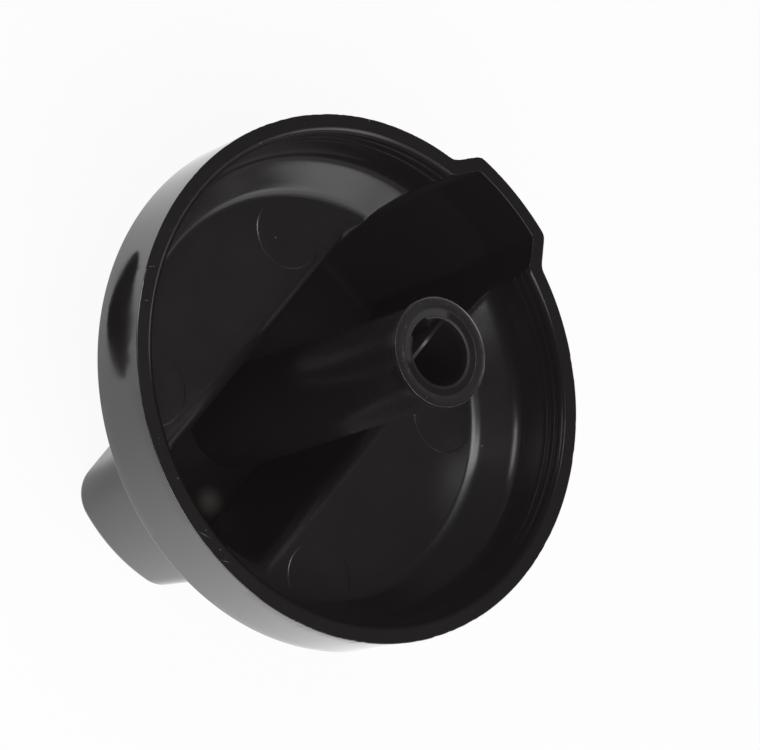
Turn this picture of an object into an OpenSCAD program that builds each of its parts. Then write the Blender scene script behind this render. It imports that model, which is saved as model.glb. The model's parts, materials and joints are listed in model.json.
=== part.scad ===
// Push-on stove knob, moulded in one piece: a round cap with a hollow grip bar
// across its front, a pointer nose on its rim and a long hub tube with a D-bore.
// Z is the shaft axis and points out of the bore, the way the shaft leaves.
// Y points to the nose. The origin is on the axis, in the plane of the rim.
// The knob stands on the flat front of its grip.

/* [Cap] */
// Radius of the skirt
skirt_r = 26; // [25:0.5:29]
// Height of the skirt's straight wall
skirt_h = 7.1; // [5:0.1:8]
// Depth of the cap's front face behind the rim
cap_h = 12.3; // [11.5:0.1:14]
// Radius of the flat front face
face_r = 21.7; // [21:0.1:23]
// Wall of the cap's flat front and of its bevel
cap_wall = 2.45; // [1.8:0.05:3]
// Width of the flat rim
rim_w = 1.5; // [1:0.1:1.8]
// Small bevel inside the rim
rim_bevel = 0.3; // [0.1:0.05:0.5]
// Depth of the first fine step in the inner wall
step_z = 1.2; // [0.8:0.1:1.5]
// Distance from one step to the next
step_gap = 1.1; // [0.7:0.1:1.3]
// Number of steps
step_n = 2; // [1:1:3]
// How far each step comes in
step_w = 0.2; // [0.1:0.05:0.3]
// Depth at which the inner wall turns towards the floor
turn_z = 6.25; // [5.5:0.05:6.5]
// How far the wall narrows between the steps and that turn
wall_lean = 0.3; // [0.1:0.05:0.5]
// Rounding of that turn
turn_round = 2.4; // [1.2:0.1:3]
// Fillet between the bevel and the floor
floor_fillet = 1.2; // [0.6:0.1:1.6]
// Rounding between the front face and the bevel
face_round = 1; // [0.4:0.1:1.6]
// Rounding of the skirt's outer edges
edge_round = 0.25; // [0.1:0.05:0.4]

/* [Grip bar] */
// Depth of the grip's flat front behind the rim
grip_h = 27; // [23:0.5:30]
// Half width of the grip's front at its tail
tail_half = 7.35; // [6.5:0.05:8]
// Half width of the grip's front at its belly
belly_half = 8; // [7.5:0.05:8.5]
// Radius of the tail end, about the knob's axis
tail_r = 19.3; // [18:0.1:20]
// Rounding of the tail's upright corners
tail_corner = 3.55; // [2.8:0.05:4]
// Slope of the grip's sides, as a share of depth
side_draft = 0.12; // [0.06:0.01:0.15]
// Slope of the tail end, as a share of depth
tail_draft = 0.02; // [0:0.01:0.04]
// Wall of the grip
grip_wall = 2.5; // [2:0.1:2.8]
// Bevel round the grip's front face
front_bevel = 0.5; // [0.2:0.1:0.8]

/* [Pointer nose] */
// Radius of the nose at the rim
nose_r = 28.4; // [27.6:0.1:30]
// Radius of the nose at the grip's front
nose_front_r = 24.6; // [23:0.1:26]
// Distance from the axis at which the grip starts to narrow
bow_y = 16; // [15:0.5:17]
// Radius of the sides where they narrow
bow_r = 14; // [12:0.5:16]
// Angle at which the sides run in to the nose
bow_angle = 33; // [30:1:36]
// Rounding of the nose's upright corners
nose_corner = 1.2; // [1:0.1:1.6]
// Wall of the nose
nose_wall = 1.4; // [1:0.1:1.8]
// Fillet between the nose and the skirt
nose_fillet = 1.5; // [1:0.1:2]

/* [Hub] */
// Radius of the hub tube at its end
hub_r = 4.8; // [4.6:0.05:5.4]
// Slope of the tube, as a share of length
hub_draft = 0.012; // [0:0.002:0.02]
// How far the hub stands proud of the rim
hub_proud = 11.5; // [8:0.5:14]
// How far the collar on the tube's end stands out
collar_w = 0.4; // [0.2:0.05:0.5]
// Height of that collar
collar_h = 0.7; // [0.5:0.1:1.2]

/* [Shaft bore] */
// Diameter of the D-shaped bore, for a 6 mm shaft
bore_d = 6.1; // [5.9:0.05:6.4]
// Size of the bore from its flat to the round side
bore_flat = 4.6; // [4.4:0.05:4.8]
// Depth of the bore below the lead-in
bore_depth = 20; // [16:0.5:24]
// Radius of the lead-in at the hub's end
lead_r = 4.15; // [3.9:0.05:4.2]
// Radius of the lead-in where the bore starts
lead_in_r = 3.25; // [3.15:0.05:3.4]
// Depth of the lead-in
lead_h = 0.45; // [0.3:0.05:0.8]
// Thickness of the sprung web that makes the bore's flat
web = 0.35; // [0.3:0.05:0.5]
// Width of the slot behind the web
slot_w = 0.3; // [0.25:0.05:0.4]
// Width of the pocket between the two ribs behind the slot
pocket_w = 2.6; // [2:0.1:3]
// Radius of the pocket's outer wall
pocket_r = 3.5; // [3.3:0.05:3.6]
// Depth of the slot and the pocket below the lead-in
pocket_depth = 13; // [8:0.5:14]

/* [Ejector marks] */
// Radius of the round marks that the ejector pins leave
pin_r = 2.7; // [2:0.1:3]
// How far the marks stand proud of the floor
pin_h = 0.1; // [0.05:0.05:0.2]
// Distance of the marks from the middle of the channel
pin_x = 12.7; // [12.2:0.1:13.5]
// Distance of the rear marks behind the axis
pin_tail = 13.35; // [12:0.05:14]
// Distance of the front marks ahead of the axis
pin_nose = 10.4; // [9:0.1:12]

/* [Hidden] */
plastic = "#1b1a1c";
// thickness of a slab that only closes a hull, and how far a cut runs past a face
sliver = 0.01;
past = 1;
// straight steps in a small rounding, in a long one and in the shallow ends
arc_n = 6;
long_n = 8;
end_n = 4;
// an arc that would graze a wall sinks this far in, and stops this many degrees short
graze = 0.02;
graze_a = 6;

// depths below the rim plane
floor_z = -(cap_h - cap_wall);
base_z = -skirt_h;
front_z = -grip_h;
channel_z = -(grip_h - grip_wall);
lead_z = hub_proud - lead_h;

// the bevel's direction, and the inner turn and floor that lie parallel to it
bevel_run = skirt_r - face_r;
bevel_rise = cap_h - skirt_h;
rim_in = skirt_r - rim_w;
turn_r = rim_in - rim_bevel - step_n * step_w - wall_lean;
floor_r = turn_r - (cap_h - cap_wall - turn_z) * bevel_run / bevel_rise;

// distance from the axis to the bore's flat
flat_x = bore_flat - bore_d / 2;

// points of an arc, angles in degrees
function arc(c, r, a0, a1, n = arc_n) =
    [for (i = [0:n]) let(a = a0 + (a1 - a0) * i / n) c + r * [cos(a), sin(a)]];

// the arc that rounds the corner b of the path a, b, c with radius r
function fillet(a, b, c, r, n = arc_n) =
    let(
        u = (a - b) / norm(a - b),
        v = (c - b) / norm(c - b),
        turn = acos(u * v),
        m = (u + v) / norm(u + v),
        o = b + m * r / sin(turn / 2),
        p = b + u * r / tan(turn / 2),
        q = b + v * r / tan(turn / 2),
        s = atan2((p - o)[1], (p - o)[0]),
        e = atan2((q - o)[1], (q - o)[0]),
        sweep = (e - s > 180) ? e - s - 360 : (e - s < -180) ? e - s + 360 : e - s
    )
    arc(o, r, s, s + sweep, n);

// distance from the axis to the side line that runs in to the nose
function bow_line(half, y0, r) = (half - r) * cos(bow_angle) + y0 * sin(bow_angle) + r;

// angle from the Y axis of a nose corner, inside both the side line and the nose's arc
function corner_turn(line, nose, corner) = asin((line - corner) / (nose - corner)) - bow_angle;

// right half of a grip outline, from the middle of the tail round to the middle of the nose
function half_plan(tail, corner, t_half, b_half, bow, nose, n_corner) =
    let(
        tx = t_half - corner,
        ty = -sqrt(pow(tail - corner, 2) - tx * tx),
        ta = atan2(ty, tx),
        line = bow_line(b_half, bow_y, bow),
        na = corner_turn(line, nose, n_corner),
        nc = (nose - n_corner) * [sin(na), cos(na)]
    )
    concat(
        arc([0, 0], tail, -90, ta, end_n),
        arc([tx, ty], corner, ta, 0, long_n),
        arc([b_half - bow, bow_y], bow, 0, bow_angle, long_n),
        arc(nc, n_corner, bow_angle, 90 - na),
        arc([0, 0], nose, 90 - na, 90, end_n)
    );

function mirrored(half) = concat(half, [for (i = [len(half) - 2:-1:1]) [-half[i][0], half[i][1]]]);

// how much wider the grip is at the skirt's edge than at its front
grow = side_draft * (grip_h - skirt_h);
tail_grow = tail_draft * (grip_h - skirt_h);
inner_grow = side_draft * (grip_h - grip_wall - skirt_h);

front_plan = mirrored(half_plan(
    tail_r, tail_corner, tail_half, belly_half,
    bow_r, nose_front_r, nose_corner));
base_plan = mirrored(half_plan(
    tail_r + tail_grow, tail_corner + grow / 2, tail_half + grow, belly_half + grow,
    bow_r, nose_r, nose_corner));

// the inner bow keeps the nose's wall beside the side line
base_line = bow_line(belly_half + grow, bow_y, bow_r);
in_half = belly_half + grow - grip_wall;
in_bow = (base_line - nose_wall - in_half * cos(bow_angle) - bow_y * sin(bow_angle)) / (1 - cos(bow_angle));
in_tail = tail_r + tail_grow - grip_wall;
in_nose = nose_r - nose_wall;
in_front_nose = nose_front_r - grip_wall;
in_corner = tail_corner - grip_wall / 2;
in_nose_corner = nose_corner / 2;

channel_base = mirrored(half_plan(
    in_tail, in_corner + grow / 2, tail_half + grow - grip_wall, in_half,
    in_bow, in_nose, in_nose_corner));
channel_front = mirrored(half_plan(
    in_tail - tail_grow, in_corner, tail_half + grow - grip_wall - inner_grow, in_half - inner_grow,
    bow_r, in_front_nose, nose_corner));

// outside of the cap: front face, bevel, skirt and rim
module cap_outside() {
    skirt_top = [skirt_r, 0];
    skirt_foot = [skirt_r, base_z];
    face_edge = [face_r, -cap_h];
    rotate_extrude()
        polygon(concat(
            [[0, 0], [0, -cap_h]],
            fillet([0, -cap_h], face_edge, skirt_foot, face_round),
            fillet(face_edge, skirt_foot, skirt_top, edge_round, end_n),
            fillet(skirt_foot, skirt_top, [0, 0], edge_round, end_n)
        ));
}

// hollow of the cap: stepped inner wall, its turn, the bevel and the floor
module cap_hollow() {
    bevel_foot = [rim_in - rim_bevel, -rim_bevel];
    floor_edge = [floor_r, floor_z];
    turn = [turn_r, -turn_z];
    steps = [for (i = [0:step_n - 1]) let(z = -step_z - i * step_gap) each [
        [bevel_foot[0] - i * step_w, z],
        [bevel_foot[0] - (i + 1) * step_w, z - step_w / 2]]];
    rotate_extrude()
        polygon(concat(
            [[0, past], [rim_in, past], [rim_in, 0], bevel_foot],
            steps,
            fillet(steps[len(steps) - 1], turn, floor_edge, turn_round),
            fillet(turn, floor_edge, [0, floor_z], floor_fillet),
            [[0, floor_z]]
        ));
}

// a slab of one outline, used as one end of a hull
module slab(plan, z, h = sliver) {
    translate([0, 0, z])
        linear_extrude(h)
            polygon(plan);
}

// the grip bar: sides slope from the bevelled front face to the skirt's edge
module grip_outside() {
    bevelled = [for (p = front_plan) p * (1 - front_bevel / norm(p))];
    hull() {
        slab(bevelled, front_z);
        slab(front_plan, front_z + front_bevel);
        slab(base_plan, base_z - sliver);
    }
    slab(base_plan, base_z - sliver, skirt_h + sliver);
}

// the concave corner between the nose and the skirt, on the right
module nose_corner_fill() {
    side_n = [cos(bow_angle), sin(bow_angle)];
    reach = skirt_r + nose_fillet;
    turn = asin((base_line + nose_fillet) / reach) - bow_angle;
    c = reach * [sin(turn), cos(turn)];
    in_side = c - (nose_fillet + nose_wall / 2) * side_n;
    in_skirt = c * (skirt_r - rim_w / 2) / reach;
    translate([0, 0, base_z])
        linear_extrude(skirt_h)
            polygon(concat(
                arc(c, nose_fillet + graze, -90 - turn - graze_a, bow_angle - 180 + graze_a),
                [in_side, in_skirt]
            ));
}

// hollow of the grip, open to the cap's hollow and to the nose
module channel() {
    hull() {
        slab(channel_front, channel_z);
        slab(channel_base, base_z);
    }
    slab(channel_base, base_z, skirt_h + past);
}

// the hub tube with the collar on its end
module hub_outside() {
    root_r = hub_r + hub_draft * (hub_proud - channel_z);
    root_h = hub_proud - channel_z + grip_wall / 2;
    translate([0, 0, channel_z - grip_wall / 2])
        cylinder(r1 = root_r, r2 = hub_r, h = root_h);
    translate([0, 0, hub_proud - collar_h])
        cylinder(r = hub_r + collar_w, h = collar_h);
    translate([0, 0, hub_proud - collar_h - collar_w])
        cylinder(r1 = hub_r, r2 = hub_r + collar_w, h = collar_w);
}

// the lead-in, the D-bore, and the slot and pocket behind the bore's flat
module shaft_bore() {
    translate([0, 0, lead_z])
        cylinder(r1 = lead_in_r, r2 = lead_r, h = lead_h);
    translate([0, 0, hub_proud])
        cylinder(r = lead_r, h = past);
    intersection() {
        translate([0, 0, lead_z - bore_depth])
            cylinder(d = bore_d, h = bore_depth + lead_h);
        translate([-flat_x, -bore_d, lead_z - bore_depth - past])
            cube([2 * bore_d, 2 * bore_d, bore_depth + 3 * past]);
    }
    slot_x = -flat_x - web - slot_w;
    slot_half = sqrt(pow(bore_d / 2, 2) - pow(slot_x + slot_w, 2));
    translate([slot_x, -slot_half, lead_z - pocket_depth])
        cube([slot_w, 2 * slot_half, pocket_depth + lead_h / 2]);
    intersection() {
        translate([0, 0, lead_z - pocket_depth])
            cylinder(r = pocket_r, h = pocket_depth + lead_h / 2);
        translate([slot_x - pocket_r, -pocket_w / 2, lead_z - pocket_depth - past])
            cube([pocket_r + slot_w / 2, pocket_w, pocket_depth + 3 * past]);
    }
}

// the four round marks on the floor, two on each side of the channel
module ejector_marks() {
    for (side = [-1, 1], y = [-pin_tail, pin_nose])
        translate([side * pin_x, y, floor_z - pin_h])
            cylinder(r = pin_r, h = 2 * pin_h);
}

module knob_body() {
    color(plastic)
        difference() {
            union() {
                difference() {
                    union() {
                        cap_outside();
                        grip_outside();
                        for (side = [0, 1])
                            mirror([side, 0, 0])
                                nose_corner_fill();
                    }
                    cap_hollow();
                    channel();
                }
                ejector_marks();
                hub_outside();
            }
            shaft_bore();
        }
}

knob_body();
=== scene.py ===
"""A push-on control knob, moulded in gloss black plastic, lying on its grip with the open back up.

Sizes are in millimetres, and MM turns them into Blender's metres where a mesh is made.
"""
import json
import math

import bmesh
import bpy
import numpy as np
from mathutils import Matrix, Vector

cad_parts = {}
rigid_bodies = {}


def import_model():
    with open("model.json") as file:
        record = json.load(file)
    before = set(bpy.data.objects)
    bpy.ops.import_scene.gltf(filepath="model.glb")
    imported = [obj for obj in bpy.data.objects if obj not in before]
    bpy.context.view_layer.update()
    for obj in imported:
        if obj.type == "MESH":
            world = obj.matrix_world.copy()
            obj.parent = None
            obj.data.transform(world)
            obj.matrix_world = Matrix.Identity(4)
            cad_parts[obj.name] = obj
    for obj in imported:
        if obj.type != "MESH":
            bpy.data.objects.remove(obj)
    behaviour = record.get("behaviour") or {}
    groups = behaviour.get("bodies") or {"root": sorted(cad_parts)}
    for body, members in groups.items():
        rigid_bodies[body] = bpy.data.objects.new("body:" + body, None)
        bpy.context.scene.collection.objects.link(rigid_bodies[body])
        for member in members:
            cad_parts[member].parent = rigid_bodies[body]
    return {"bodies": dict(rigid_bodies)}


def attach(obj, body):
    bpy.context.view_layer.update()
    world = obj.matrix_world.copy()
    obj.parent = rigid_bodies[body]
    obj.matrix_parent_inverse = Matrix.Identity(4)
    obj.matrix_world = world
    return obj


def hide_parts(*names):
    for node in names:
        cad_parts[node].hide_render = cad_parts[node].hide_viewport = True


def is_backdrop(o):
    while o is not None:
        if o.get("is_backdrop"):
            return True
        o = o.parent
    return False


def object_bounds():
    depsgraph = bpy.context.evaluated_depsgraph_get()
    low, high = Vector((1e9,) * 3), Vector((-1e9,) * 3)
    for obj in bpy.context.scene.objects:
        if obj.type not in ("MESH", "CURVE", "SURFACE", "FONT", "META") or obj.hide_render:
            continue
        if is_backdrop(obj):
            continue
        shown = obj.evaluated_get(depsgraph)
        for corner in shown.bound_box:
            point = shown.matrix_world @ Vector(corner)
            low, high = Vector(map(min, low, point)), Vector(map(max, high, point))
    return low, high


MM = 0.001

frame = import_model()
cad_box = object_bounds()
BODY = next(iter(frame["bodies"]))
low = np.array(cad_box[0]) / MM
high = np.array(cad_box[1]) / MM


# Camera
# A long lens looks down into the open back from beside the tail. It is turned about its own axis
# so that the nose points to the upper right of the picture.
TARGET = Vector((0.64, 0.52, 0.65)) * MM
CAMERA_DISTANCE = 258.9 * MM
CAMERA_AZIMUTH = -27.5
CAMERA_ELEVATION = 52.06
CAMERA_ROLL = 72.15
LENS = 127.2


def toward(azimuth, elevation):
    """Unit vector towards a place. Azimuth 0 is -Y and 90 is +X, and elevation is above the floor."""
    a, e = math.radians(azimuth), math.radians(elevation)
    return Vector((math.sin(a) * math.cos(e), -math.cos(a) * math.cos(e), math.sin(e)))


camera = bpy.data.objects.new("camera", bpy.data.cameras.new("camera"))
bpy.context.scene.collection.objects.link(camera)
bpy.context.scene.camera = camera
camera.data.lens = LENS
camera.data.sensor_width = 36
camera.data.clip_start = 0.01
camera.data.clip_end = 10
back = toward(CAMERA_AZIMUTH, CAMERA_ELEVATION)
level = toward(CAMERA_AZIMUTH + 90, 0)
upright = back.cross(level)
roll = math.radians(CAMERA_ROLL)
right = level * math.cos(roll) + upright * math.sin(roll)
camera.matrix_world = Matrix.Translation(TARGET + back * CAMERA_DISTANCE) @ Matrix(
    (right, back.cross(right), back)
).transposed().to_4x4()


# Floor and light
# A white table in a dim room. One soft lamp above lights the table, a window to the right and tube
# lamps to the left draw the bright bands inside the rim. The camera sees the table as white, with only
# a trace of the knob's shadow.
FLOOR_HALF = 1600.0
FLOOR_WHITE = 0.86
FLOOR_VEIL = 0.93
ROOM = 0.08

# The gloss of the plastic sees the table glowing at a level of its own, with a painted shadow of the knob
# left of it and beside its tail, and a painted pool of light in front. Each spot has a centre on the table,
# a reach and a rise.
GLOSS_SHARE = 0.85
TABLE_LEVEL = 1.25
TABLE_SHADOWS_AND_POOL = (
    ((-24.0, -33.0), 34.0, -0.62),
    ((-10.0, -16.0), 7.0, -0.42),
    ((-30.0, 2.0), 9.0, -0.33),
    ((18.0, -62.0), 52.0, 0.8),
)


def material(name):
    """An empty node material: returns it with its node tree and a function that adds a node."""
    made = bpy.data.materials.new(name)
    made.use_nodes = True
    tree = made.node_tree
    tree.nodes.clear()

    def add(kind, **settings):
        node = tree.nodes.new("ShaderNode" + kind)
        for key, value in settings.items():
            setattr(node, key, value)
        return node

    return made, tree, add


def mesh_object(name, points, faces, finish):
    """A mesh piece from points in millimetres and faces, with its material, at the origin."""
    mesh = bpy.data.meshes.new(name)
    mesh.from_pydata((np.asarray(points, float) * MM).tolist(), [], faces)
    mesh.materials.append(finish)
    piece = bpy.data.objects.new(name, mesh)
    bpy.context.scene.collection.objects.link(piece)
    return piece


floor_paint, tree, add = material("white_table")
table = add("BsdfDiffuse")
table.inputs["Color"].default_value = (FLOOR_WHITE, FLOOR_WHITE, FLOOR_WHITE, 1)
veil = add("Emission")
veil.inputs["Strength"].default_value = 1.0
rays = add("LightPath")
share = add("Math", operation="MULTIPLY")
share.inputs[1].default_value = FLOOR_VEIL
blend = add("MixShader")
tree.links.new(rays.outputs["Is Camera Ray"], share.inputs[0])
tree.links.new(share.outputs[0], blend.inputs[0])
tree.links.new(table.outputs[0], blend.inputs[1])
tree.links.new(veil.outputs[0], blend.inputs[2])

place = add("TexCoord")


def bell(centre, reach, rise, base):
    """Adds to a base a bell curve over the distance d from a place: base + rise * exp(-(d / reach)^2)."""
    apart = add("VectorMath", operation="DISTANCE")
    apart.inputs[1].default_value = (centre[0] * MM, centre[1] * MM, low[2] * MM)
    in_reach = add("Math", operation="DIVIDE")
    in_reach.inputs[1].default_value = reach * MM
    squared = add("Math", operation="POWER")
    squared.inputs[1].default_value = 2.0
    falling = add("Math", operation="MULTIPLY")
    falling.inputs[1].default_value = -1.0
    curve = add("Math", operation="EXPONENT")
    total = add("Math", operation="MULTIPLY_ADD")
    total.inputs[1].default_value = rise
    tree.links.new(place.outputs["Object"], apart.inputs[0])
    tree.links.new(apart.outputs["Value"], in_reach.inputs[0])
    chain = (in_reach, squared, falling, curve, total)
    for before, after in zip(chain, chain[1:]):
        tree.links.new(before.outputs[0], after.inputs[0])
    if isinstance(base, float):
        total.inputs[2].default_value = base
    else:
        tree.links.new(base, total.inputs[2])
    return total.outputs[0]


# The gloss sees the table as a glow that carries the painted shadows and the painted pool of light
painted_table_level = TABLE_LEVEL
for centre, reach, rise in TABLE_SHADOWS_AND_POOL:
    painted_table_level = bell(centre, reach, rise, painted_table_level)
painted_table_glow = add("Emission")
glossy = add("Math", operation="MULTIPLY")
glossy.inputs[1].default_value = GLOSS_SHARE
mirrored = add("MixShader")
surface = add("OutputMaterial")
tree.links.new(painted_table_level, painted_table_glow.inputs["Strength"])
tree.links.new(rays.outputs["Is Glossy Ray"], glossy.inputs[0])
tree.links.new(glossy.outputs[0], mirrored.inputs[0])
tree.links.new(blend.outputs[0], mirrored.inputs[1])
tree.links.new(painted_table_glow.outputs[0], mirrored.inputs[2])
tree.links.new(mirrored.outputs[0], surface.inputs["Surface"])
corners = [(x * FLOOR_HALF, y * FLOOR_HALF, low[2]) for x, y in ((-1, -1), (1, -1), (1, 1), (-1, 1))]
floor = mesh_object("floor", corners, [(0, 1, 2, 3)], floor_paint)
floor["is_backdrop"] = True

# A narrow black card lies on the table left of the knob: a painted shadow. Only the gloss sees it, as a
# dark leaf of shadow on the skirt. It is a strip along a spiral about the knob's axis, its half width the
# sine of the way along to the power 0.6, so that it is pointed at both ends.
CARD_START = 38.4
CARD_END = 41.2
CARD_HALF = 1.75
CARD_TURN = (181.0, 222.0)
CARD_LIFT = 0.2
CARD_STEPS = 30
CARD_SHADOW_BLACK = 0.02
shadow_card_paint, tree, add = material("painted_shadow_card")
coat = add("BsdfDiffuse")
coat.inputs["Color"].default_value = (CARD_SHADOW_BLACK, CARD_SHADOW_BLACK, CARD_SHADOW_BLACK, 1)
surface = add("OutputMaterial")
tree.links.new(coat.outputs[0], surface.inputs["Surface"])
along = np.linspace(0, 1, CARD_STEPS + 1)
turned = np.radians(CARD_TURN[0] + (CARD_TURN[1] - CARD_TURN[0]) * along)
half = CARD_HALF * np.sin(np.pi * along) ** 0.6
middle = CARD_START + (CARD_END - CARD_START) * along
edges = np.concatenate([middle - half, middle + half])
turned = np.tile(turned, 2)
level = np.full(edges.shape, low[2] + CARD_LIFT)
points = np.stack([edges * np.cos(turned), edges * np.sin(turned), level], 1)
across = CARD_STEPS + 1
faces = [(i, i + across, i + across + 1, i + 1) for i in range(CARD_STEPS)]
card = mesh_object("painted_shadow_card", points, faces, shadow_card_paint)
card.visible_camera = False
card.visible_diffuse = False
card.visible_shadow = False
card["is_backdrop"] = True

# The room around the table is dim, and white where the camera looks past the table
world = bpy.data.worlds.new("room")
bpy.context.scene.world = world
world.use_nodes = True
tree = world.node_tree
tree.nodes.clear()
sky = tree.nodes.new("ShaderNodeBackground")
rays = tree.nodes.new("ShaderNodeLightPath")
level_of = tree.nodes.new("ShaderNodeMapRange")
level_of.inputs["To Min"].default_value = ROOM
level_of.inputs["To Max"].default_value = 1.0
surface = tree.nodes.new("ShaderNodeOutputWorld")
tree.links.new(rays.outputs["Is Camera Ray"], level_of.inputs["Value"])
tree.links.new(level_of.outputs["Result"], sky.inputs["Strength"])
tree.links.new(sky.outputs[0], surface.inputs["Surface"])


def lamp(name, start, end, distance, width, radiance):
    """A rectangular lamp that faces the knob, a width across, from one (azimuth, elevation) to another."""
    first, last = toward(*start), toward(*end)
    middle = (first + last) / 2
    along = (last - first).normalized()
    facing = (middle - along * middle.dot(along)).normalized()
    light = bpy.data.lights.new(name, "AREA")
    light.shape = "RECTANGLE"
    light.size = (last - first).length * distance * MM
    light.size_y = width * MM
    light.energy = radiance * math.pi * light.size * light.size_y
    holder = bpy.data.objects.new(name, light)
    bpy.context.scene.collection.objects.link(holder)
    turned = Matrix((along, facing.cross(along), facing)).transposed().to_4x4()
    holder.matrix_world = Matrix.Translation(middle * distance * MM) @ turned
    return holder


lamp("overhead", (-20, 47), (48, 47), 800, 560, 4.5)
lamp("window", (40, 22), (118, 22), 700, 400, 0.8)
lamp("window_core", (58, 18), (106, 18), 690, 250, 0.45)
lamp("window_top", (56, 47), (118, 47), 710, 200, 0.4)
lamp("window_side", (119, 17), (134, 17), 700, 180, 0.4)
lamp("left_tube", (-82, 45), (-112, 66), 700, 100, 4.2)
lamp("back_tube", (-112, 67), (-178, 72), 700, 100, 5.0)
lamp("left_low", (-66, 13), (-84, 13), 700, 130, 3.2)


# Cap
# One injection moulding in hard gloss black plastic. The cap is its round shell: flat front, bevel,
# straight skirt and flat rim outside, and a stepped wall, a cone and a flat floor inside.
FRONT_Z = low[2]
HUB_Z = high[2]
SKIRT_R = high[0]
NOSE_R = high[1]
SKIRT_FOOT = -7.1
CAP_FACE = -12.3
FACE_R = 21.7
WALL = 2.45
RIM_W = 1.5
RIM_IN = SKIRT_R - RIM_W
RIM_BEVEL = 0.3
STEP_LEVELS = (-1.2, -2.3)
STEP_WIDTH = 0.1
TURN = (24.0, -6.35)
FLOOR_Z = CAP_FACE + WALL
FLOOR_R = 20.45


def rounded(before, corner, after, radius, steps):
    """Points of the arc of a radius that touches both lines of a corner.

    Its centre lies on the line that halves the corner, the radius over the sine of half the angle away.
    """
    b = np.array(corner, float)
    u = np.array(before, float) - b
    v = np.array(after, float) - b
    u /= np.linalg.norm(u)
    v /= np.linalg.norm(v)
    half = math.acos(float(u @ v)) / 2
    centre = b + (u + v) / np.linalg.norm(u + v) * radius / math.sin(half)
    start = b + u * radius / math.tan(half) - centre
    end = b + v * radius / math.tan(half) - centre
    first = math.atan2(start[1], start[0])
    sweep = math.remainder(math.atan2(end[1], end[0]) - first, 2 * math.pi)
    turn = first + sweep * np.linspace(0, 1, steps + 1)
    return centre + radius * np.stack([np.cos(turn), np.sin(turn)], 1)


def line(start, end, steps):
    """Points strictly between two points of a profile, evenly spaced."""
    t = np.arange(1, steps + 1)[:, None] / (steps + 1)
    return np.array(start, float) + t * (np.array(end, float) - np.array(start, float))


# Columns of the body's grid: angles about the axis, finer where the grip's corners and the nose are
FINE = ((-80.0, -52.0, 0.4), (56.0, 86.0, 0.21))
COARSE = 1.0
half_turn = np.arange(-90.0, 90.01, COARSE)
for start, end, step in FINE:
    half_turn = half_turn[(half_turn < start) | (half_turn > end)]
    half_turn = np.concatenate([half_turn, np.arange(start, end + step / 2, step)])
half_turn = np.sort(half_turn)
turn_deg = np.concatenate([half_turn, 180.0 - half_turn[-2:0:-1]])
theta = np.radians(turn_deg)
fold = np.degrees(np.arcsin(np.sin(theta)))
columns = np.arange(len(theta))


def soft_max(a, b, reach):
    """The greater of two radii, with the corner between them rounded over a reach.

    A share h goes from 0 to 1 across the reach, and the sum is b + (a - b) * h + reach * h * (1 - h).
    """
    h = np.clip(0.5 + 0.5 * (a - b) / reach, 0, 1)
    return b + (a - b) * h + reach * h * (1 - h)


def lies_at(table, z_first, z_last, z):
    """Reads a table of radii, levels by columns, at a height, going straight from level to level."""
    last = len(table) - 1
    t = np.clip((np.broadcast_to(z, theta.shape) - z_first) / (z_last - z_first), 0, 1) * last
    i = np.minimum(t.astype(int), last - 1)
    w = t - i
    return table[i, columns] * (1 - w) + table[i + 1, columns] * w


# Grip bar and nose
# The finger grip across the cap's front, hollow behind, narrows to its flat front. Its far end runs out
# past the rim as the pointer nose. Both are part of the same moulding.
TAIL_R = 19.3
TAIL_CORNER = 3.55
TAIL_HALF = 7.35
BELLY_HALF = 8.0
SIDE_DRAFT = 0.12
TAIL_DRAFT = 0.02
NOSE_FRONT_R = 24.6
BOW_Y = 16.0
BOW_R = 14.0
BOW = math.radians(33.0)
NOSE_CORNER = 1.2
GRIP_WALL = 2.5
NOSE_WALL = 1.4
TAIL_WALL = 1.4
CHANNEL_Z = FRONT_Z + GRIP_WALL
LEVELS = 25

grow = SIDE_DRAFT * (SKIRT_FOOT - FRONT_Z)
tail_grow = TAIL_DRAFT * (SKIRT_FOOT - FRONT_Z)
inner_grow = SIDE_DRAFT * (SKIRT_FOOT - CHANNEL_Z)


def bow_line(half, radius):
    """Distance from the axis to the slanted side that runs in to the nose."""
    return (half - radius) * math.cos(BOW) + BOW_Y * math.sin(BOW) + radius


def outline(tail, corner, tail_half, belly, bow, nose, nose_corner):
    """Right half of a grip's plan, from the middle of the tail to the middle of the nose.

    It is an arc about the axis, a round corner, a straight side, a bow that turns the side inwards,
    a slanted side, a round nose corner and an arc about the axis. Every stretch has a fixed number of
    points, so that two outlines can be blended point by point.
    """
    tx = tail_half - corner
    ty = -math.sqrt((tail - corner) ** 2 - tx * tx)
    ta = math.atan2(ty, tx)
    lean = math.asin((bow_line(belly, bow) - nose_corner) / (nose - nose_corner)) - BOW
    nc = (nose - nose_corner) * np.array([math.sin(lean), math.cos(lean)])

    def arc(centre, radius, first, last, steps):
        a = np.linspace(first, last, steps)
        return np.array(centre) + radius * np.stack([np.cos(a), np.sin(a)], 1)

    def side(start, end, steps):
        t = np.linspace(0, 1, steps + 2)[1:-1, None]
        return start + t * (end - start)

    tail_arc = arc((0, 0), tail, -math.pi / 2, ta, 24)
    tail_round = arc((tx, ty), corner, ta, 0, 32)
    bow_arc = arc((belly - bow, BOW_Y), bow, 0, BOW, 32)
    nose_round = arc(nc, nose_corner, BOW, math.pi / 2 - lean, 24)
    nose_arc = arc((0, 0), nose, math.pi / 2 - lean, math.pi / 2, 16)
    return np.concatenate([
        tail_arc, tail_round, side(tail_round[-1], bow_arc[0], 120), bow_arc,
        side(bow_arc[-1], nose_round[0], 40), nose_round, nose_arc])


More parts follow.
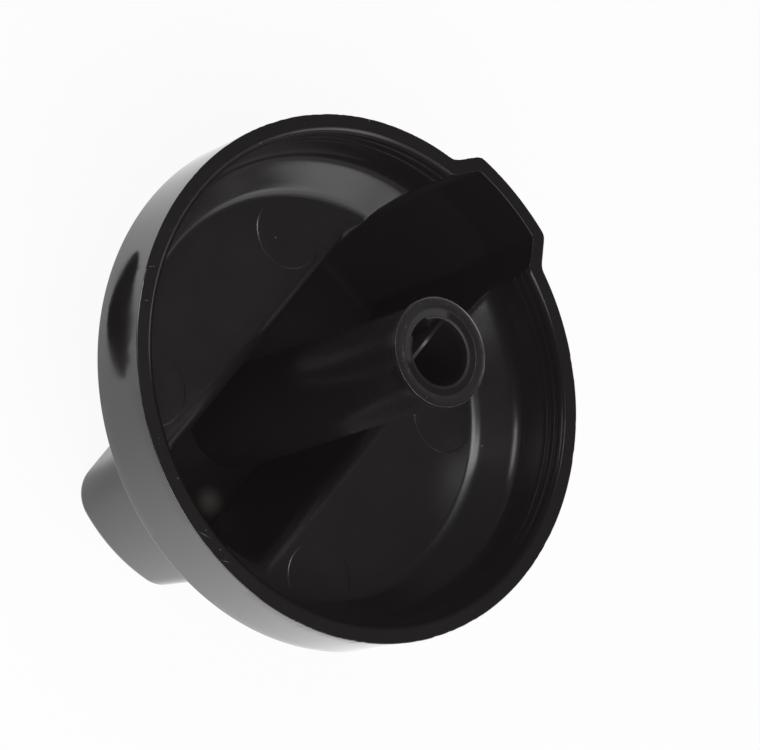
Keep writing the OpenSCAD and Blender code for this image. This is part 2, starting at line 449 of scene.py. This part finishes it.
def radii(points):
    """The distance from the axis to an outline at each column's angle, the same on both sides."""
    angle = np.degrees(np.arctan2(points[:, 1], points[:, 0]))
    return np.interp(fold, angle, np.hypot(points[:, 0], points[:, 1]))


def blended(first, last):
    """Radii of an outline at evenly spaced levels: each point moves straight from the first to the last."""
    return np.stack([radii(first + t * (last - first)) for t in np.linspace(0, 1, LEVELS)])


grip_table = blended(
    outline(TAIL_R, TAIL_CORNER, TAIL_HALF, BELLY_HALF, BOW_R, NOSE_FRONT_R, NOSE_CORNER),
    outline(TAIL_R + tail_grow, TAIL_CORNER + grow / 2, TAIL_HALF + grow, BELLY_HALF + grow,
            BOW_R, NOSE_R, NOSE_CORNER))

# The channel follows the grip's outside, one wall in
in_half = BELLY_HALF + grow - GRIP_WALL
in_tail = TAIL_R + tail_grow - TAIL_WALL
in_corner = TAIL_CORNER - GRIP_WALL / 2
in_bow = (bow_line(BELLY_HALF + grow, BOW_R) - NOSE_WALL - in_half * math.cos(BOW)
          - BOW_Y * math.sin(BOW)) / (1 - math.cos(BOW))
channel_table = blended(
    outline(in_tail - tail_grow, in_corner, TAIL_HALF + grow - GRIP_WALL - inner_grow,
            in_half - inner_grow, BOW_R, NOSE_FRONT_R - GRIP_WALL, NOSE_CORNER),
    outline(in_tail, in_corner, TAIL_HALF + grow - GRIP_WALL, in_half,
            in_bow, NOSE_R - NOSE_WALL, NOSE_CORNER / 2))


def grip_at(z):
    """Distance from the axis to the grip's outside at a height."""
    return lies_at(grip_table, FRONT_Z, SKIRT_FOOT, z)


def channel_at(z):
    """Distance from the axis to the channel's wall at a height."""
    return lies_at(channel_table, CHANNEL_Z, SKIRT_FOOT, z)


# Outside of the body
# The rows run from the middle of the grip's flat front up its sides, over the cap's front face and
# bevel to the skirt, and end on the rim. Each row gives a radius and a height for every column.
FRONT_ROUND = 0.5
GRIP_FILLET = 0.6
FACE_ROUND = 1.0
EDGE_ROUND = 0.25
RIM_ROUND = 0.09
NOSE_BLEND = 0.5
NICK = 0.08
FRONT_PARTS = (0.0, 0.45, 0.85, 0.97)
GRIP_LEVELS = (FRONT_Z + 0.8, -23.5, -19.5, -16.0, -13.6)
FACE_RADII = (14.0, 18.0, 20.6)

# Roughness and shine of each kind of surface: the mould is polished outside and rougher the deeper it
# goes. The shine scales the colour of the reflection, and in the channel, the bore and the tube it is
# turned down as painted shade in those hollows. Every row keeps the finish that holds when the row is added.
POLISHED = (0.06, 1.0)
SMOOTH = (0.2, 1.0)
SATIN = (0.22, 1.0)
SAWN = (0.2, 0.8)
DULL = (0.34, 1.0)
WORN = (0.55, 1.0)
SHADED = (0.27, 0.45)
MATT_SHADED = (0.3, 0.08)
DEAD_SHADED = (0.6, 0.03)
RAGGED_SPANS = 48
RAGGED_FAST = 0.45
finish = POLISHED
rows = []


def row(radius, z):
    """Adds one row of the grid: radius and height, each one number or one for each column."""
    rows.append([np.broadcast_to(value, theta.shape) for value in (radius, z) + finish])


def ragged(seed, keep):
    """A number from 0 to 1 for each column, uneven as torn flash is.

    It is a mix of a value for each column and a slower one for each span, and 0 where it is below keep.
    """
    rng = np.random.default_rng(seed)
    fast = rng.random(len(theta))
    spans = np.append(rng.random(RAGGED_SPANS), 0.5)
    slow = np.interp(turn_deg, np.linspace(-90, 270, RAGGED_SPANS + 1), spans, period=360)
    return np.clip((RAGGED_FAST * fast + (1 - RAGGED_FAST) * slow - keep) / (1 - keep), 0, 1)


def quarter(steps):
    """Sine and cosine over a quarter turn, as pairs."""
    return [(math.sin(a), math.cos(a)) for a in np.linspace(0, math.pi / 2, steps + 1)]


front = grip_at(FRONT_Z) - FRONT_ROUND
for part in FRONT_PARTS:
    row(front * part, FRONT_Z)
for s, c in quarter(5):
    row(grip_at(FRONT_Z + FRONT_ROUND * (1 - c)) - FRONT_ROUND * (1 - s), FRONT_Z + FRONT_ROUND * (1 - c))
for z in GRIP_LEVELS:
    row(grip_at(z), z)
fillet = np.clip(FACE_R - grip_at(CAP_FACE), 0, GRIP_FILLET)
for s, c in quarter(5):
    z = CAP_FACE - fillet * (1 - s)
    row(grip_at(z) + fillet * (1 - c), z)
for radius in FACE_RADII:
    row(np.maximum(radius, grip_at(CAP_FACE) + fillet), CAP_FACE)

skirt_top = (SKIRT_R, 0.0)
skirt_foot = (SKIRT_R, SKIRT_FOOT)
face_edge = (FACE_R, CAP_FACE)
face_arc = rounded((0, CAP_FACE), face_edge, skirt_foot, FACE_ROUND, 6)
foot_arc = rounded(face_edge, skirt_foot, skirt_top, EDGE_ROUND, 3)
top_arc = rounded(skirt_foot, skirt_top, (0, 0), RIM_ROUND, 4)
outside = np.concatenate([
    face_arc, line(face_arc[-1], foot_arc[0], 4), foot_arc,
    line(foot_arc[-1], top_arc[0], 5), top_arc])
nicks = NICK * ragged(7, 0.55)
for radius, z in outside:
    row(soft_max(radius, grip_at(z), NOSE_BLEND) - (nicks if z > -RIM_ROUND * 1.2 else 0.0), z)

# Inside of the cap
# Flat rim, a small bevel, two fine steps, the wall, its turn, the cone and the floor. Where the grip's
# channel and the nose open into the cap, the rows follow the channel instead.
WALL_BLEND = 0.55
TURN_ROUND = 3.2
FLOOR_FILLET = 1.8
STEP_SLOPE = 0.1
STEP_ABOVE = 0.25
STEP_EDGE_H = 0.06
STEP_EDGE_W = 0.03
LIP_ROUND = 0.06
FLASH_W = 0.14
FLASH_RISE = 0.07
FLASH_MIDDLE = 176.0
FLASH_TURN = 56.0
FLASH_FADE = 12.0
FLASH_LEAST = 0.03
FLASH_SHAPE = ((1.0, 0.0), (0.75, 0.7), (0.45, 1.0), (0.15, 0.7), (0.0, 0.0))
EDGE_SHADED_GLOSS = 0.3
RIM_PARTS = (0.12, 0.5, 0.88)

rim_outer = soft_max(SKIRT_R, grip_at(0.0), NOSE_BLEND) - RIM_ROUND
rim_inner = soft_max(RIM_IN, channel_at(0.0), WALL_BLEND) + LIP_ROUND
finish = SAWN
for part in RIM_PARTS:
    row(rim_outer + (rim_inner - rim_outer) * part, 0.0)

# A thin fin of flash stands on the inner edge, where the mould's core met the cavity. It is strong on
# the left, where the edge is dull too, and fades out towards the nose, where the edge's shine is turned
# down as painted shade that dims its reflection.
strong = np.clip((FLASH_TURN - np.abs(turn_deg - FLASH_MIDDLE)) / FLASH_FADE, FLASH_LEAST, 1)
flash = FLASH_RISE * strong * (0.4 + 0.6 * ragged(3, 0.2))
edge_painted_shade = EDGE_SHADED_GLOSS + (1 - EDGE_SHADED_GLOSS) * strong
finish = (SAWN[0] + (WORN[0] - SAWN[0]) * strong * (0.3 + 0.7 * ragged(9, 0.1)), edge_painted_shade)
for across, part in FLASH_SHAPE:
    row(rim_inner + FLASH_W * across, flash * part)

bevel_foot = (RIM_IN - RIM_BEVEL, -RIM_BEVEL)
inside = [(RIM_IN, -LIP_ROUND), bevel_foot]
radius = bevel_foot[0]
for z in STEP_LEVELS:
    inside += [
        (radius, z + STEP_ABOVE), (radius, z + STEP_EDGE_H), (radius - STEP_EDGE_W, z),
        (radius - STEP_WIDTH + STEP_EDGE_W, z - STEP_SLOPE)]
    radius -= STEP_WIDTH
    inside += [(radius, z - STEP_SLOPE - STEP_EDGE_H)]
last_step = inside[-1]
turn_arc = rounded(last_step, TURN, (FLOOR_R, FLOOR_Z), TURN_ROUND, 7)
floor_arc = rounded(TURN, (FLOOR_R, FLOOR_Z), (0, FLOOR_Z), FLOOR_FILLET, 7)
inside = np.concatenate([
    inside, line(last_step, turn_arc[0], 3), turn_arc,
    line(turn_arc[-1], floor_arc[0], 4), floor_arc])
for radius, z in inside:
    finish = SMOOTH if z < -RIM_BEVEL * 1.2 else (SMOOTH[0], edge_painted_shade)
    row(soft_max(radius, channel_at(z), WALL_BLEND), z)

CHANNEL_EDGE = 1.5
FLOOR_RADII = (18.6, 16.0, 13.0, 10.5)
MOST_SLANT = 2.2
floor_start = floor_arc[-1][0]
wall_r = channel_at(FLOOR_Z)
slant = np.clip(np.hypot(1, np.gradient(wall_r, theta) / wall_r), 1, MOST_SLANT)
fall = np.clip((floor_start - wall_r) / slant, 0, CHANNEL_EDGE)
edge = fall * slant
floor_top = soft_max(floor_start, channel_at(FLOOR_Z), WALL_BLEND)
finish = SATIN
for radius in FLOOR_RADII:
    row(np.minimum(np.maximum(radius, channel_at(FLOOR_Z) + edge), floor_top), FLOOR_Z)

# Channel
# The deep hollow of the grip behind the cap's floor, down to the grip's front wall. It keeps the walls
# of the moulding thin, and rounds over softly to the floor.
CHANNEL_FILLET = 0.8
ROOT_FILLET = 0.05
ROOT_GAP = 0.02
CHANNEL_LEVELS = (-12.2, -16.0, -20.0, -23.4)
HUB_R = 4.8
HUB_DRAFT = 0.012


def tube_at(z):
    """Radius of the hub tube at a height."""
    return HUB_R + HUB_DRAFT * (HUB_Z - z)


# Down the soft edge the shine fades to the channel's, which is turned down as painted shade in the deep
# hollow
for s, c in quarter(8):
    z = FLOOR_Z - fall * (1 - c)
    finish = (SATIN[0], SATIN[1] + (MATT_SHADED[1] - SATIN[1]) * s)
    row(np.minimum(channel_at(z) + edge * (1 - s), floor_top), z)
finish = MATT_SHADED
for z in CHANNEL_LEVELS:
    row(channel_at(z), z)
gap = channel_at(CHANNEL_Z) - tube_at(CHANNEL_Z)
bottom = np.clip(gap / 2 - ROOT_GAP, ROOT_GAP, CHANNEL_FILLET)
finish = DEAD_SHADED
for s, c in quarter(5):
    z = CHANNEL_Z + bottom * (1 - s)
    row(channel_at(z) - bottom * (1 - c), z)
finish = MATT_SHADED
root = np.minimum(bottom, ROOT_FILLET)
row((channel_at(CHANNEL_Z) - bottom + tube_at(CHANNEL_Z) + root) / 2, CHANNEL_Z)
for s, c in quarter(3):
    z = CHANNEL_Z + root * (1 - c)
    row(tube_at(z) + root * (1 - s), z)

# Hub and shaft bore
# A long tapered tube rises from the channel's bottom past the rim. Its end is a flat ring that stands
# proud of the tube, with a conical lead-in to the D-bore. A slot and a ribbed pocket lie behind the
# thin web that makes the bore's flat.
RING_OUT = 5.21
RING_IN = 4.16
RING_FOOT = 0.7
RING_SLOPE = 0.4
RING_EDGE = 0.03
TUBE_DEEP = (-21.0, -14.0, -8.0)
TUBE_OPEN = (-4.0, 0.0, 5.0, 9.0)
LEDGE_R = 3.5
LEDGE_DEPTH = 0.15
LEDGE_SLOPE = 0.1
LEAD_IN_R = 3.24
LEAD_DEPTH = 0.45
FIN = 0.11
FIN_SHAPE = ((0.7, 0.09), (1.0, 0.05), (0.8, 0.015))
FIN_FOOT = 0.14
LIP_W = 0.055
LIP_IN = 0.035
LIP_EDGE = 0.01
LIP_SIDE = 0.05
WORN_TURN = 68.0
WORN_FADE = 9.0
CONE = (0.2, 0.65)
CONE_PARTS = (0.12, 0.5, 0.97)
LEDGE = (0.55, 0.6)
BORE_R = 3.05
FLAT_X = 1.55
WEB = 0.35
SLOT = 0.3
POCKET_HALF = 1.3
POCKET_R = 3.5
POCKET_DEPTH = 13.0
BORE_DEPTH = 20.0
LEAD_Z = HUB_Z - LEAD_DEPTH
HOLE_LEVELS = (0.6, 3.0, 7.0, POCKET_DEPTH)
TINY = 1e-6

slope_z = HUB_Z - RING_FOOT - RING_SLOPE
for z in TUBE_DEEP:
    row(tube_at(z), z)
finish = SHADED
for z in TUBE_OPEN + (slope_z - 0.08,):
    row(tube_at(z), z)
row(tube_at(slope_z) + 0.02, slope_z)
finish = DULL
row(RING_OUT - RING_EDGE, HUB_Z - RING_FOOT - RING_EDGE)
row(RING_OUT, HUB_Z - RING_FOOT + 0.05)

# A ragged fin stands out from the ring's edge, and a low lip stands along its outer and its inner edge
fin = FIN * ragged(11, 0.25)
row(RING_OUT, HUB_Z - FIN_FOOT)
for out, down in FIN_SHAPE:
    row(RING_OUT + fin * out, HUB_Z - down)
lip = 0.4 + 0.6 * ragged(17, 0.1)
face_z = HUB_Z - LIP_EDGE - LIP_W
row(RING_OUT - LIP_EDGE, HUB_Z)
row(RING_OUT - RING_EDGE, HUB_Z - LIP_EDGE)
row(RING_OUT - RING_EDGE - LIP_W * lip, HUB_Z - LIP_EDGE - LIP_W * lip)
row(RING_OUT - LIP_SIDE - LIP_W, face_z)
row((RING_OUT + RING_IN) / 2, face_z)
row(RING_IN + 2 * LIP_SIDE, face_z)
row(RING_IN + LIP_SIDE, face_z + LIP_IN * ragged(5, 0.1))
row(RING_IN, face_z - LIP_EDGE)

# Angle of each column from the flat's side, and the shape of the hole there: pocket, rib, slot, round
aside = np.degrees(np.arccos(np.clip(-np.cos(theta), -1, 1)))
sin_aside = np.maximum(np.sin(np.radians(aside)), TINY)
cos_aside = np.maximum(np.cos(np.radians(aside)), TINY)
slot_x = FLAT_X + WEB + SLOT
slot_half = math.sqrt(BORE_R ** 2 - (FLAT_X + WEB) ** 2)
pocket_turn = math.degrees(math.asin(POCKET_HALF / POCKET_R))
rib_turn = math.degrees(math.atan2(POCKET_HALF, slot_x))
slot_turn = math.degrees(math.atan2(slot_half, slot_x))
web_turn = math.degrees(math.asin(slot_half / BORE_R))
flat_turn = math.degrees(math.acos(FLAT_X / BORE_R))
hole = np.select(
    [aside < pocket_turn, aside < rib_turn, aside < slot_turn, aside < web_turn],
    [np.full(theta.shape, POCKET_R), POCKET_HALF / sin_aside, slot_x / cos_aside, slot_half / sin_aside],
    BORE_R)
d_hole = np.where(aside < flat_turn, FLAT_X / cos_aside, BORE_R)

# The lead-in cone is worn on the flat's side. A narrow D-shaped ledge follows it, then the hole.
worn = np.clip((WORN_TURN - aside) / WORN_FADE, 0, 1)
finish = tuple(CONE[i] + (WORN[i] - CONE[i]) * worn for i in (0, 1))
ledge_r = np.maximum(LEDGE_R, hole)
ledge_z = HUB_Z - LEDGE_DEPTH * (RING_IN - ledge_r) / (RING_IN - LEDGE_R)
for part in CONE_PARTS:
    row(RING_IN + (ledge_r - RING_IN) * part, face_z + (ledge_z - face_z) * part)
finish = LEDGE
foot_r = np.maximum(LEAD_IN_R, hole)
foot_z = ledge_z - LEDGE_SLOPE * (ledge_r - foot_r)
row(ledge_r, ledge_z)
row(foot_r, foot_z)
# In the bore's hole the shine is turned down as painted shade
finish = MATT_SHADED
row(foot_r - 0.02 * (foot_r > hole + RING_EDGE), foot_z - RING_EDGE)
row(hole, foot_z - LEAD_DEPTH)
for down in HOLE_LEVELS:
    row(hole, LEAD_Z - down)
row(d_hole, LEAD_Z - POCKET_DEPTH)
row(d_hole, LEAD_Z - BORE_DEPTH)
row(0.0, LEAD_Z - BORE_DEPTH)


# Body mesh
# The knob is one moulding, so all rows together are one closed skin in one plastic. Where a row is
# swallowed by its neighbour, its points merge. The finish of each row goes with its points.
MERGE = 0.004
BLACK = (0.0085, 0.0074, 0.0078, 1)
DUST_AND_PAINTED_HIGHLIGHT = (0.16, 0.155, 0.14, 1)
# The pale patch on the channel's bottom is a painted highlight, in the dust's colour
LIT_PATCH_AT = (3.85, -8.45, CHANNEL_Z)
LIT_PATCH_REACH = 2.0


def ring_quads(rings, sides):
    """Faces between neighbouring rings of a grid of points, each ring closed."""
    i, j = np.meshgrid(np.arange(rings - 1), np.arange(sides), indexing="ij")
    k = (j + 1) % sides
    quads = [i * sides + j, i * sides + k, (i + 1) * sides + k, (i + 1) * sides + j]
    return np.stack(quads, 2).reshape(-1, 4)


def closed_grid(grid):
    """Points and faces of a skin through rows of radius and height, closed round the axis and at its poles.

    A column at angle a puts its point at (radius * cos a, radius * sin a, height).
    """
    r, z = np.stack(grid, 1)[:2]
    x, y = r * np.cos(theta), r * np.sin(theta)
    points = np.stack([x, y, z], 2).reshape(-1, 3)
    return points, ring_quads(*r.shape).tolist()


def welded(piece, distance):
    """Merges points that coincide, drops faces that vanish and turns the normals outwards."""
    work = bmesh.new()
    work.from_mesh(piece.data)
    bmesh.ops.remove_doubles(work, verts=work.verts, dist=distance * MM)
    bmesh.ops.dissolve_degenerate(work, edges=work.edges, dist=distance * MM * 0.2)
    bmesh.ops.recalc_face_normals(work, faces=work.faces)
    for face in work.faces:
        face.smooth = True
    work.to_mesh(piece.data)
    open_edges = sum(1 for e in work.edges if not e.is_manifold)
    triangles = sum(len(f.verts) - 2 for f in work.faces)
    work.free()
    print(f"{piece.name}: {triangles} triangles, {open_edges} open edges")


def weighted_normals(piece):
    """Lets the large faces rule the shading of a piece, so that they look flat beside their small rounds."""
    weighted = piece.modifiers.new("weighted", "WEIGHTED_NORMAL")
    weighted.weight = 80


def moulded_plastic(name, finish, colour_of=BLACK):
    """Plastic of one finish, or of the mesh's own if that is None, with faint smears and dust on it.

    Smears are a slow noise added to the roughness. Dust is a speck in a few of the cells of a fine Voronoi
    pattern, and one pale patch on the channel's bottom is a painted highlight. The mesh's own shine carries
    painted shade in the hollows, and a faint glow of the plastic is painted light.
    """
    made, tree, add = material(name)
    plastic = add("BsdfPrincipled")
    plastic.inputs["IOR"].default_value = 1.5
    plastic.inputs["Specular IOR Level"].default_value = 0.9
    # A faint pinkish glow of the plastic is painted light, which lifts its darkest parts
    plastic.inputs["Emission Color"].default_value = (1, 0.8, 0.82, 1)
    plastic.inputs["Emission Strength"].default_value = 0.0045
    place = add("TexCoord")
    smears = add("TexNoise")
    smears.inputs["Scale"].default_value = 160.0
    smears.inputs["Detail"].default_value = 5.0
    change = add("MapRange")
    change.inputs["From Min"].default_value = 0.3
    change.inputs["From Max"].default_value = 0.7
    change.inputs["To Min"].default_value = -0.03
    change.inputs["To Max"].default_value = 0.05
    tree.links.new(place.outputs["Object"], smears.inputs["Vector"])
    tree.links.new(smears.outputs["Fac"], change.inputs["Value"])
    rough = add("Math", operation="ADD")
    if finish is None:
        kept = add("Attribute", attribute_name="roughness")
        tree.links.new(kept.outputs["Fac"], rough.inputs[1])
        gloss_and_painted_shade = add("Attribute", attribute_name="gloss_and_painted_shade")
        tree.links.new(gloss_and_painted_shade.outputs["Fac"], plastic.inputs["Specular Tint"])
    else:
        rough.inputs[1].default_value = finish[0]
    tree.links.new(change.outputs["Result"], rough.inputs[0])
    tree.links.new(rough.outputs[0], plastic.inputs["Roughness"])

    grain = add("TexNoise")
    grain.inputs["Scale"].default_value = 2600.0
    grain.inputs["Detail"].default_value = 3.0
    relief = add("Bump")
    relief.inputs["Strength"].default_value = 0.05
    relief.inputs["Distance"].default_value = 0.02 * MM
    tree.links.new(place.outputs["Object"], grain.inputs["Vector"])
    tree.links.new(grain.outputs["Fac"], relief.inputs["Height"])
    tree.links.new(relief.outputs["Normal"], plastic.inputs["Normal"])

    specks = add("TexVoronoi")
    specks.inputs["Scale"].default_value = 900.0
    dust = add("MapRange", interpolation_type="SMOOTHSTEP")
    dust.inputs["From Min"].default_value = 0.1
    dust.inputs["From Max"].default_value = 0.04
    lot = add("SeparateColor")
    few = add("Math", operation="GREATER_THAN")
    few.inputs[1].default_value = 0.985
    shown = add("Math", operation="MULTIPLY")
    colour = add("Mix", data_type="RGBA")
    colour.inputs["A"].default_value = colour_of
    colour.inputs["B"].default_value = DUST_AND_PAINTED_HIGHLIGHT
    tree.links.new(place.outputs["Object"], specks.inputs["Vector"])
    tree.links.new(specks.outputs["Distance"], dust.inputs["Value"])
    tree.links.new(specks.outputs["Color"], lot.inputs["Color"])
    tree.links.new(lot.outputs["Red"], few.inputs[0])
    tree.links.new(dust.outputs["Result"], shown.inputs[0])
    tree.links.new(few.outputs[0], shown.inputs[1])
    # A painted highlight: a pale patch where the channel's bottom catches light
    lit_patch = add("VectorMath", operation="DISTANCE")
    lit_patch.inputs[1].default_value = [v * MM for v in LIT_PATCH_AT]
    soft = add("MapRange", interpolation_type="SMOOTHSTEP")
    soft.inputs["From Min"].default_value = LIT_PATCH_REACH * MM
    soft.inputs["From Max"].default_value = 0.0
    soft.inputs["To Max"].default_value = 0.5
    both = add("Math", operation="MAXIMUM")
    tree.links.new(place.outputs["Object"], lit_patch.inputs[0])
    tree.links.new(lit_patch.outputs["Value"], soft.inputs["Value"])
    tree.links.new(shown.outputs[0], both.inputs[0])
    tree.links.new(soft.outputs["Result"], both.inputs[1])
    tree.links.new(both.outputs[0], colour.inputs["Factor"])
    tree.links.new(colour.outputs["Result"], plastic.inputs["Base Color"])
    surface = add("OutputMaterial")
    tree.links.new(plastic.outputs[0], surface.inputs["Surface"])
    return made


points, quads = closed_grid(rows)
body = mesh_object("knob_moulding", points, quads, moulded_plastic("black_plastic", None))
for place, name in ((2, "roughness"), (3, "gloss_and_painted_shade")):
    kept = body.data.attributes.new(name, "FLOAT", "POINT")
    kept.data.foreach_set("value", np.stack(rows)[:, place].ravel())
welded(body, MERGE)
weighted_normals(body)
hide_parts("knob_body")
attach(body, BODY)


# Sprung web
# The thin wall that makes the bore's flat. It is moulded with the hub, stands free between the bore and
# the slot behind it, and springs back a little when the shaft is pushed in.
WEB_HALF = 2.9
WEB_FOOT = 0.3
WEB_ROUND = 0.05
WEB_DROP = 0.03
WEB_STEPS = 4
SMALL_MERGE = 0.001

# Its profile in x and z is a box with four round corners, each an arc of WEB_ROUND, drawn along y
web_x = -(FLAT_X + WEB / 2)
web_top = HUB_Z - LEDGE_DEPTH - WEB_DROP
web_foot = LEAD_Z - POCKET_DEPTH - WEB_FOOT
corner = np.repeat(np.array([(1, 1), (-1, 1), (-1, -1), (1, -1)]), WEB_STEPS, 0)
first = np.arctan2(corner[:, 1], corner[:, 0]) - math.pi / 4
turn = first + np.tile(np.linspace(0, math.pi / 2, WEB_STEPS), 4)
x = web_x + (corner[:, 0] * (WEB / 2 - WEB_ROUND) + WEB_ROUND * np.cos(turn))
z = np.where(corner[:, 1] > 0, web_top - WEB_ROUND, web_foot + WEB_ROUND) + WEB_ROUND * np.sin(turn)
count = len(x)
points = np.concatenate([np.stack([x, np.full(count, y), z], 1) for y in (-WEB_HALF, WEB_HALF)])
faces = ring_quads(2, count).tolist() + [list(range(count)), list(range(2 * count - 1, count - 1, -1))]
web = mesh_object("sprung_web", points, faces, moulded_plastic("black_plastic_worn", WORN))
welded(web, SMALL_MERGE)
weighted_normals(web)
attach(web, BODY)


# Ejector marks
# Four round marks on the floor, where the mould's steel pins pushed the knob out. The plastic rose a
# trace around each pin, so a mark is a flat disc inside a very low ring that fades outwards.
PIN_R = 2.7
PIN_FACE = 0.003
PIN_RISE = 0.007
PIN_EDGE = 0.09
PIN_RUN = 1.25
PIN_SINK = 0.15
PIN_PLACES = ((12.7, 10.4), (-12.7, 10.4), (12.7, -13.35), (-12.7, -13.35))
PIN_SIDES = 72

pin_profile = np.array([
    (0.0, PIN_FACE),
    (PIN_R - PIN_EDGE * 1.4, PIN_FACE),
    (PIN_R - PIN_EDGE, PIN_FACE + 0.002),
    (PIN_R, PIN_RISE),
    (PIN_R + 0.06, PIN_RISE),
    (PIN_R + PIN_RUN * 0.3, PIN_RISE * 0.7),
    (PIN_R + PIN_RUN * 0.65, PIN_RISE * 0.25),
    (PIN_R + PIN_RUN, -0.002),
    (PIN_R + PIN_RUN, -PIN_SINK),
    (0.0, -PIN_SINK),
])
spin = np.linspace(0, 2 * math.pi, PIN_SIDES, endpoint=False)
points, faces = [], []
for px, py in PIN_PLACES:
    first = len(points)
    ring = np.stack([
        px + pin_profile[:, :1] * np.cos(spin), py + pin_profile[:, :1] * np.sin(spin),
        np.broadcast_to(FLOOR_Z + pin_profile[:, 1:], (len(pin_profile), PIN_SIDES))], 2).reshape(-1, 3)
    points += ring.tolist()
    faces += (ring_quads(len(pin_profile), PIN_SIDES) + first).tolist()
pins = mesh_object("ejector_marks", points, faces, moulded_plastic("black_plastic_satin", SATIN))
welded(pins, SMALL_MERGE)
weighted_normals(pins)
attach(pins, BODY)


# Crumbs and burrs
# Torn flash left pale crumbs on the hub's end ring and a few on the rim and the floor, and there are fine
# burrs where the rim was scratched. They are the same plastic, whitened where it was stressed.
CRUMBS = (
    (55, RING_IN + 0.1, RING_OUT - 0.12, face_z, -170, 190),
    (16, RIM_IN + 0.2, SKIRT_R - 0.15, 0.0, 120, 300),
    (10, 10.0, 19.0, FLOOR_Z, 100, 260),
)
CRUMB_R = (0.018, 0.05)
CRUMB_SHAPE = (1.3, 0.8, 0.6)
CRUMB_MERGE = 0.0005
SPECKS = ((24.8, 250.9), (25.0, 263.4), (25.1, 268.6), (25.3, 204.5))
SPECK_R = 0.08
BURRS = (
    (25.95, 205.4, 25.2, 204.3),
    (25.6, 212.4, 24.9, 212.1),
    (25.85, 262.0, 25.0, 266.0),
    (25.8, 270.0, 25.1, 272.5),
)
BURR_W = 0.03
WHITENED = (0.1, 0.095, 0.085, 1)


def around(r, turn, z):
    """Points at radii, angles in degrees and a height: (r * cos, r * sin, z)."""
    a = np.radians(turn)
    return np.stack([r * np.cos(a), r * np.sin(a), np.full(np.shape(r), z)], 1)


# Each field of crumbs has a number, two radii, a height and two angles, and each speck a radius and an angle
rng = np.random.default_rng(21)
centres, sizes = [], []
for number, inner, outer, z, first, last in CRUMBS:
    r = rng.uniform(inner, outer, number)
    centres.append(around(r, rng.uniform(first, last, number), z))
    sizes.append(rng.uniform(*CRUMB_R, number))
specks = np.array(SPECKS)
centres.append(around(specks[:, 0], specks[:, 1], 0.0))
sizes.append(np.full(len(SPECKS), SPECK_R))
centres, sizes = np.concatenate(centres), np.concatenate(sizes)

# None lies over the channel, where it would hang in the air
clear = np.hypot(centres[:, 0], centres[:, 1]) < RING_OUT
clear |= (centres[:, 2] > -1) | (np.abs(centres[:, 0]) > BELLY_HALF + CHANNEL_EDGE)
centres, sizes = centres[clear], sizes[clear]

# A crumb is a squat body of eight faces about its centre, and a burr one drawn out between two points of
# the rim, each given by its radius and its angle
tips = np.array([(1, 0, 0), (0, 1, 0), (-1, 0, 0), (0, -1, 0), (0, 0, 1), (0, 0, -1)], float)
eight = np.array([(0, 1, 4), (1, 2, 4), (2, 3, 4), (3, 0, 4), (1, 0, 5), (2, 1, 5), (3, 2, 5), (0, 3, 5)])
squat = centres[:, None] + sizes[:, None, None] * tips * CRUMB_SHAPE
ends = np.array(BURRS)
start = around(ends[:, 0], ends[:, 1], 0.0)
end = around(ends[:, 2], ends[:, 3], 0.0)
middle = (start + end) / 2
across = np.cross(end - start, (0, 0, 1))
across *= BURR_W / np.linalg.norm(across, axis=1, keepdims=True)
up = np.array([0, 0, BURR_W])
slivers = np.stack([start, middle + across, end, middle - across, middle + up, middle - up], 1)
bodies = np.concatenate([squat, slivers])
points = bodies.reshape(-1, 3)
faces = (eight + len(tips) * np.arange(len(bodies))[:, None, None]).reshape(-1, 3).tolist()
whitened = moulded_plastic("black_plastic_whitened", WORN, WHITENED)
crumbs = mesh_object("torn_flash", points, faces, whitened)
welded(crumbs, CRUMB_MERGE)
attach(crumbs, BODY)


# Colour management and sizes
bpy.context.scene.view_settings.view_transform = "Standard"
made_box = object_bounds()
sizes = {
    "cad": [list(corner) for corner in cad_box],
    "visual": [list(corner) for corner in made_box],
}
